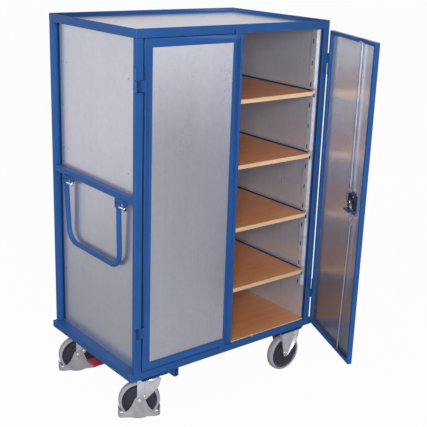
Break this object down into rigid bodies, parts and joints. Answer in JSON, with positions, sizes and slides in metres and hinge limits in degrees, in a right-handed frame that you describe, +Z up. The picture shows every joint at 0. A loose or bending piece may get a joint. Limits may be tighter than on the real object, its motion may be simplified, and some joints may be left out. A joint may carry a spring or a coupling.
{
  "type": "transport trolley",
  "caption": "Steel cabinet trolley with two hinged doors, adjustable shelves, a fold-down push bar, swivel and fixed casters and a foot brake.",
  "frame": {"origin": "middle of the load floor's upper face", "axes": "+Z up, +X toward the end with the fixed casters, -X toward the push bar and the brake pedal, -Y toward the doors"},
  "size_m": [1.116, 1.2066, 1.8033],
  "materials": {
    "blue_coated_steel": "gloss powder coat",
    "zinc_sheet": "galvanised",
    "pressed_zinc_steel": "zinc plated",
    "bright_zinc_tube": "bright zinc plated",
    "grey_guard_steel": "satin grey coat",
    "black_coated_steel": "satin black coat",
    "black_plastic": "satin",
    "red_plastic": "satin",
    "beech_board": "satin lacquer",
    "grey_tyre": "matt rubber on a dark grey plastic rim"
  },
  "bodies": {
    "cabinet": {"base_rail_front": "blue_coated_steel", "base_rail_back": "blue_coated_steel", "base_rail_left": "blue_coated_steel", "base_rail_right": "blue_coated_steel", "caster_channel_left": "blue_coated_steel", "caster_channel_right": "blue_coated_steel", "cross_member": "blue_coated_steel", "floor_board": "beech_board", "post_front_left": "blue_coated_steel", "post_front_right": "blue_coated_steel", "post_back_left": "blue_coated_steel", "post_back_right": "blue_coated_steel", "top_rim": "blue_coated_steel", "top_sheet": "zinc_sheet", "side_rail_left": "blue_coated_steel", "side_rail_right": "blue_coated_steel", "side_panel_left": "zinc_sheet", "side_panel_right": "zinc_sheet", "back_panel": "zinc_sheet", "shelf_1": "beech_board", "shelf_2": "beech_board", "shelf_3": "beech_board", "shelf_4": "beech_board", "shelf_bearer_left_1": "blue_coated_steel", "shelf_bearer_left_2": "blue_coated_steel", "shelf_bearer_left_3": "blue_coated_steel", "shelf_bearer_left_4": "blue_coated_steel", "shelf_bearer_right_1": "blue_coated_steel", "shelf_bearer_right_2": "blue_coated_steel", "shelf_bearer_right_3": "blue_coated_steel", "shelf_bearer_right_4": "blue_coated_steel", "upright_front_left": "zinc_sheet", "upright_front_right": "zinc_sheet", "upright_back_left": "zinc_sheet", "upright_back_right": "zinc_sheet", "swivel_plate_front": "pressed_zinc_steel", "swivel_plate_back": "pressed_zinc_steel", "fixed_fork_front": "pressed_zinc_steel", "fixed_fork_back": "pressed_zinc_steel"},
    "left_door": {"left_door_frame": "blue_coated_steel", "left_door_sheet": "zinc_sheet", "closing_strip": "blue_coated_steel"},
    "right_door": {"right_door_frame": "blue_coated_steel", "right_door_sheet": "zinc_sheet", "lock_case": "black_plastic", "lock_bracket": "blue_coated_steel"},
    "door_handle": {"lock_handle": "black_coated_steel"},
    "upper_rod": {"lock_rod_upper": "bright_zinc_tube"},
    "lower_rod": {"lock_rod_lower": "bright_zinc_tube"},
    "push_handle": {"push_bar": "bright_zinc_tube"},
    "front_swivel": {"swivel_fork_front": "pressed_zinc_steel", "foot_guard_front": "grey_guard_steel"},
    "back_swivel": {"swivel_fork_back": "pressed_zinc_steel", "foot_guard_back": "grey_guard_steel"},
    "front_swivel_wheel": {"swivel_wheel_front": "grey_tyre"},
    "back_swivel_wheel": {"swivel_wheel_back": "grey_tyre"},
    "front_fixed_wheel": {"fixed_wheel_front": "grey_tyre"},
    "back_fixed_wheel": {"fixed_wheel_back": "grey_tyre"},
    "brake": {"brake_shaft": "black_coated_steel", "brake_pedal": "red_plastic"}
  },
  "joints": [
    {"name": "left_door_hinge", "type": "hinge", "parent": "cabinet", "child": "left_door", "pos_m": [-0.5435, -0.3635, 0.737], "axis": [0, 0, -1], "range_deg": [0, 190]},
    {"name": "right_door_hinge", "type": "hinge", "parent": "cabinet", "child": "right_door", "pos_m": [0.5435, -0.3635, 0.737], "axis": [0, 0, 1], "range_deg": [-67.2, 197.8]},
    {"name": "lock_turn", "type": "hinge", "parent": "right_door", "child": "door_handle", "pos_m": [0.38462, -0.74147, 0.7525], "axis": [-0.9219, 0.3875, 0], "range_deg": [0, 90]},
    {"name": "upper_rod_slide", "type": "slide", "parent": "right_door", "child": "upper_rod", "axis": [0, 0, 1], "range_m": [0, 0.018]},
    {"name": "lower_rod_slide", "type": "slide", "parent": "right_door", "child": "lower_rod", "axis": [0, 0, -1], "range_m": [0, 0.018]},
    {"name": "push_bar_hinge", "type": "hinge", "parent": "cabinet", "child": "push_handle", "pos_m": [-0.537, 0, 0.747], "axis": [0, 1, 0], "range_deg": [0, 95]},
    {"name": "front_swivel_turn", "type": "hinge", "parent": "cabinet", "child": "front_swivel", "pos_m": [-0.405, -0.285, -0.066], "axis": [0, 0, 1], "continuous": true},
    {"name": "back_swivel_turn", "type": "hinge", "parent": "cabinet", "child": "back_swivel", "pos_m": [-0.405, 0.285, -0.066], "axis": [0, 0, 1], "continuous": true},
    {"name": "front_swivel_wheel_roll", "type": "hinge", "parent": "front_swivel", "child": "front_swivel_wheel", "pos_m": [-0.44789, -0.26171, -0.19627], "axis": [0.4772, 0.8788, 0], "continuous": true},
    {"name": "back_swivel_wheel_roll", "type": "hinge", "parent": "back_swivel", "child": "back_swivel_wheel", "pos_m": [-0.45071, 0.30209, -0.19627], "axis": [0.3502, 0.9367, 0], "continuous": true},
    {"name": "front_fixed_wheel_roll", "type": "hinge", "parent": "cabinet", "child": "front_fixed_wheel", "pos_m": [0.435, -0.285, -0.19627], "axis": [0, 1, 0], "continuous": true},
    {"name": "back_fixed_wheel_roll", "type": "hinge", "parent": "cabinet", "child": "back_fixed_wheel", "pos_m": [0.435, 0.285, -0.19627], "axis": [0, 1, 0], "continuous": true},
    {"name": "brake_pedal_press", "type": "hinge", "parent": "cabinet", "child": "brake", "pos_m": [-0.47, 0, -0.073], "axis": [0, -1, 0], "range_deg": [0, 12], "stiffness_Nm_per_rad": 12}
  ],
  "couplings": [
    {"joint": "upper_rod_slide", "follows": "lock_turn", "m_per_rad": 0.01145},
    {"joint": "lower_rod_slide", "follows": "lock_turn", "m_per_rad": 0.01145}
  ]
}
